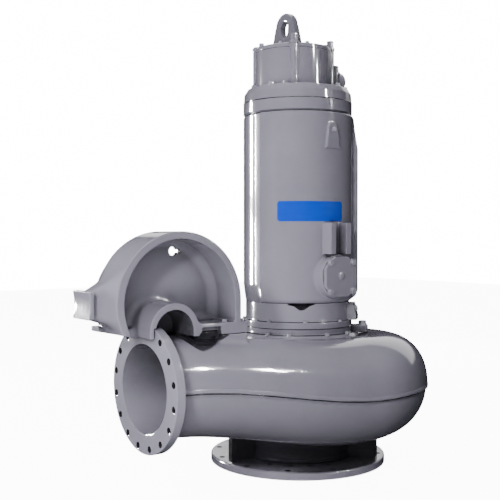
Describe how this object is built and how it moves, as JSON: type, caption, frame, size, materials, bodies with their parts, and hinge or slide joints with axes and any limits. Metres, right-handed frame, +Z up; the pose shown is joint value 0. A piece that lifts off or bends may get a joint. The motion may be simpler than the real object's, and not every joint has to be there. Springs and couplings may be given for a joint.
{
  "type": "submersible wastewater pump with guide claw",
  "caption": "Tall round submersible motor on a spiral casing with a side discharge flange, a base flange and a dished guide claw.",
  "frame": {"origin": "under the middle of the whole pump, on the floor under its base flange", "axes": "+Z up along the motor shaft, -X the way the discharge flange faces, -Y towards the inspection cover"},
  "size_m": [2.003, 1.2679, 2.205],
  "materials": {
    "grey_paint": "glossy two-pack epoxy paint over cast iron, slight orange peel",
    "cover_paint": "the same glossy paint on covers, lid and fittings",
    "blue_label": "smooth satin label film, bare",
    "hub_iron": "dark primed cast iron"
  },
  "bodies": {
    "root": {"base_flange": "grey_paint", "bearing_flange": "grey_paint", "box_lid": "cover_paint", "cable_duct": "grey_paint", "cable_gland": "cover_paint", "casing_flange": "grey_paint", "cast_boss": "grey_paint", "claw_base_left": "grey_paint", "claw_base_right": "grey_paint", "claw_foot": "grey_paint", "claw_hub": "grey_paint", "claw_nose": "grey_paint", "claw_pad": "grey_paint", "claw_rim": "grey_paint", "claw_seat": "grey_paint", "claw_web": "grey_paint", "coolant_rib_left": "grey_paint", "coolant_rib_right": "grey_paint", "cover_flange": "grey_paint", "cover_plug": "cover_paint", "discharge_flange": "grey_paint", "discharge_nozzle": "grey_paint", "drain_lug": "grey_paint", "gland_block": "cover_paint", "impeller": "hub_iron", "inlet_neck": "grey_paint", "inspection_boss": "cover_paint", "inspection_cover": "cover_paint", "lid_post_1": "grey_paint", "lid_post_2": "grey_paint", "lid_post_3": "grey_paint", "lid_post_4": "grey_paint", "lifting_handle": "cover_paint", "name_label": "blue_label", "seal_housing": "grey_paint", "side_lug": "grey_paint", "stand_leg_1": "grey_paint", "stand_leg_2": "grey_paint", "stand_leg_3": "grey_paint", "stator_housing": "grey_paint", "terminal_box": "grey_paint", "top_band": "grey_paint", "volute_collar": "grey_paint", "volute_front": "grey_paint", "volute_left": "grey_paint", "volute_rear": "grey_paint", "volute_right": "grey_paint"}
  },
  "joints": []
}
